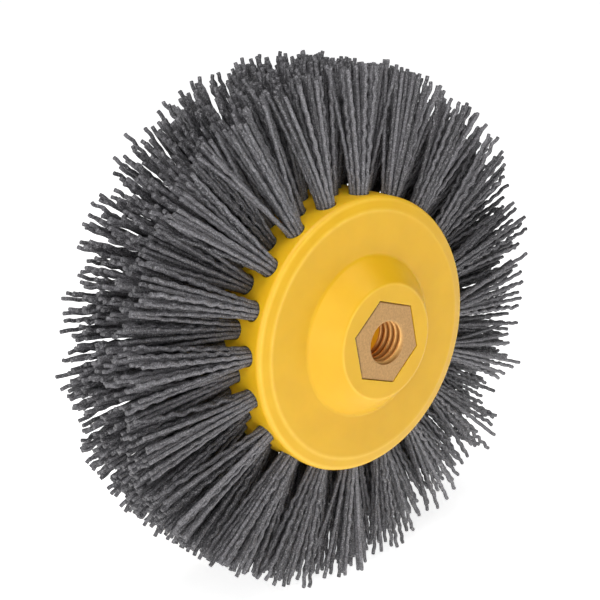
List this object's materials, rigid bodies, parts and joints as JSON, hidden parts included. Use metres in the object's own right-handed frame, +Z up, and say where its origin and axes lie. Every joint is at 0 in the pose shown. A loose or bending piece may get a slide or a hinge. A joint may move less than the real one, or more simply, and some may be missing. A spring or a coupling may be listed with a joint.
{
  "type": "wheel brush",
  "caption": "Radial wheel brush: staggered rows of thick crimped abrasive filament tufts on a yellow plastic hub with a threaded brass hexagon nut in its boss.",
  "frame": {"origin": "mouth of the spindle thread, on the wheel's axis in the plane of the nut's outer face", "axes": "-Y along the wheel's axis, out of the thread towards the machine; +Y towards the hub's plain back face; +Z up with the wheel standing on its rim"},
  "size_m": [0.1502, 0.0474, 0.1502],
  "materials": {
    "hub_plastic": "satin moulded and turned polypropylene, slightly translucent",
    "nut_brass": "dull faced-off flats, bright cut thread",
    "filament": "crimped grit-filled nylon, rough with pale speckle",
    "anchor_steel": "flat rolled wire"
  },
  "bodies": {
    "root": {"hub": "hub_plastic", "nut_insert": "nut_brass", "tufts_01": "filament", "tufts_02": "filament", "tufts_03": "filament", "tufts_04": "filament", "tufts_05": "filament", "tufts_06": "filament", "tufts_07": "filament", "tufts_08": "filament", "tufts_09": "filament", "tufts_10": "filament", "tufts_11": "filament", "tufts_12": "filament", "tufts_13": "filament", "tufts_14": "filament", "tufts_15": "filament", "tufts_16": "filament", "tufts_17": "filament", "tufts_18": "filament", "tufts_19": "filament", "tufts_20": "filament", "tufts_21": "filament", "tufts_22": "filament", "tufts_23": "filament", "tufts_24": "filament", "tufts_25": "filament", "tufts_26": "filament", "tufts_27": "filament", "tufts_28": "filament", "tufts_29": "filament", "tufts_30": "filament", "tufts_31": "filament", "tufts_32": "filament", "tufts_33": "filament", "tufts_34": "filament", "tufts_35": "filament", "tufts_36": "filament", "tufts_37": "filament", "tufts_38": "filament", "tufts_39": "filament", "tufts_40": "filament", "anchors_row_1": "anchor_steel", "anchors_row_2": "anchor_steel", "anchors_row_3": "anchor_steel", "anchors_row_4": "anchor_steel", "anchors_row_5": "anchor_steel", "anchors_row_6": "anchor_steel"}
  },
  "joints": []
}
